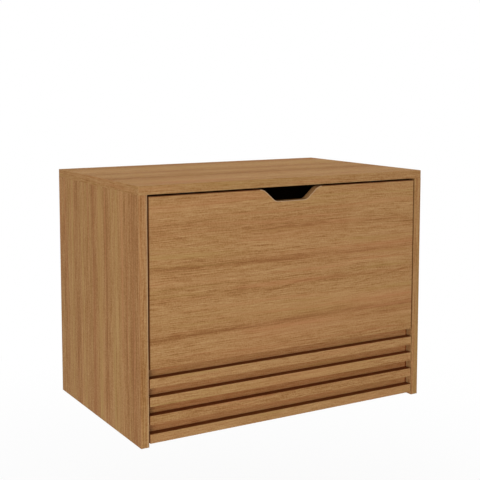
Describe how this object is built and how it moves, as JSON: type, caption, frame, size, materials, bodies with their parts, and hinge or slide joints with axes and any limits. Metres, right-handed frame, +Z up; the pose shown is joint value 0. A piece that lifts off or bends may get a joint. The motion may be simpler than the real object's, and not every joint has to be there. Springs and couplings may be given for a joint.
{
  "type": "kitchen wall cabinet",
  "caption": "Box-shaped kitchen wall cabinet whose slatted front flap drops down on a continuous hinge and is held level by sliding stays.",
  "frame": {"origin": "middle of the footprint, at the bottom edges of the two side panels", "axes": "+Z up, -Y out of the front, +X to the right seen from the front"},
  "size_m": [0.6, 0.378, 0.446],
  "materials": {
    "oak_print_top": "oak print laminate, grain along the width, satin",
    "oak_print_side": "oak print laminate, grain upright, satin",
    "oak_print_inside": "oak print laminate, grain along the width, satin",
    "oak_print_front": "oak print laminate, grain along the width, satin",
    "hardboard": "printed hardboard, matt",
    "cam_zinc": "die-cast zinc, dull",
    "zinc_plated": "zinc plated, bright",
    "beech": "bare beech",
    "brown_plastic": "matt moulded plastic",
    "hinge_steel": "nickel plated, satin",
    "stay_steel": "zinc plated, satin",
    "rivet_steel": "plain steel",
    "white_plastic": "matt moulded plastic",
    "magnet": "ferrite, matt"
  },
  "bodies": {
    "cabinet": {"top_panel": "oak_print_top", "side_panel_left": "oak_print_side", "side_panel_right": "oak_print_side", "base_panel": "oak_print_inside", "back_panel": "hardboard", "hanging_rail_upper": "oak_print_inside", "hanging_rail_lower": "oak_print_inside", "top_cam_discs": "cam_zinc", "base_cam_discs": "cam_zinc", "rail_cam_discs": "cam_zinc", "top_cam_bolts": "zinc_plated", "base_cam_bolts": "zinc_plated", "rail_cam_bolts": "zinc_plated", "top_dowels": "beech", "base_dowels": "beech", "rail_dowels": "beech", "cam_covers": "brown_plastic", "back_panel_nails": "zinc_plated", "hinge_base_leaf": "hinge_steel", "hinge_pin": "hinge_steel", "hinge_base_screws": "zinc_plated", "stay_guide_left": "stay_steel", "stay_guide_right": "stay_steel", "guide_screws_left": "zinc_plated", "guide_screws_right": "zinc_plated", "catch_housing_left": "brown_plastic", "catch_housing_right": "brown_plastic", "catch_magnet_left": "magnet", "catch_magnet_right": "magnet", "catch_screws": "zinc_plated"},
    "front_flap": {"flap_panel": "oak_print_front", "flap_back_board": "oak_print_inside", "flap_slat_1": "oak_print_front", "flap_slat_2": "oak_print_front", "flap_slat_3": "oak_print_front", "flap_slat_4": "oak_print_front", "slat_screws": "zinc_plated", "flap_panel_screws": "zinc_plated", "hinge_flap_leaf": "hinge_steel", "hinge_flap_screws": "zinc_plated", "stay_bracket_left": "stay_steel", "stay_bracket_right": "stay_steel", "bracket_screws_left": "zinc_plated", "bracket_screws_right": "zinc_plated", "bracket_rivet_left": "rivet_steel", "bracket_rivet_right": "rivet_steel", "strike_plate_left": "stay_steel", "strike_plate_right": "stay_steel", "strike_screws": "zinc_plated"},
    "stay_left": {"stay_arm_left": "stay_steel", "slide_shoe_left": "white_plastic", "shoe_rivet_left": "rivet_steel"},
    "stay_right": {"stay_arm_right": "stay_steel", "slide_shoe_right": "white_plastic", "shoe_rivet_right": "rivet_steel"}
  },
  "joints": [
    {"name": "flap_hinge", "type": "hinge", "parent": "cabinet", "child": "front_flap", "pos_m": [0, -0.158, 0.0032], "axis": [1, 0, 0], "range_deg": [0, 90]},
    {"name": "stay_pivot_left", "type": "hinge", "parent": "front_flap", "child": "stay_left", "pos_m": [-0.279, -0.158, 0.193], "axis": [1, 0, 0], "range_deg": [-43, 0]},
    {"name": "stay_pivot_right", "type": "hinge", "parent": "front_flap", "child": "stay_right", "pos_m": [0.279, -0.158, 0.193], "axis": [1, 0, 0], "range_deg": [-43, 0]}
  ],
  "couplings": [
    {"joint": "stay_pivot_left", "follows": "flap_hinge", "ratio": -0.47},
    {"joint": "stay_pivot_right", "follows": "flap_hinge", "ratio": -0.47}
  ]
}
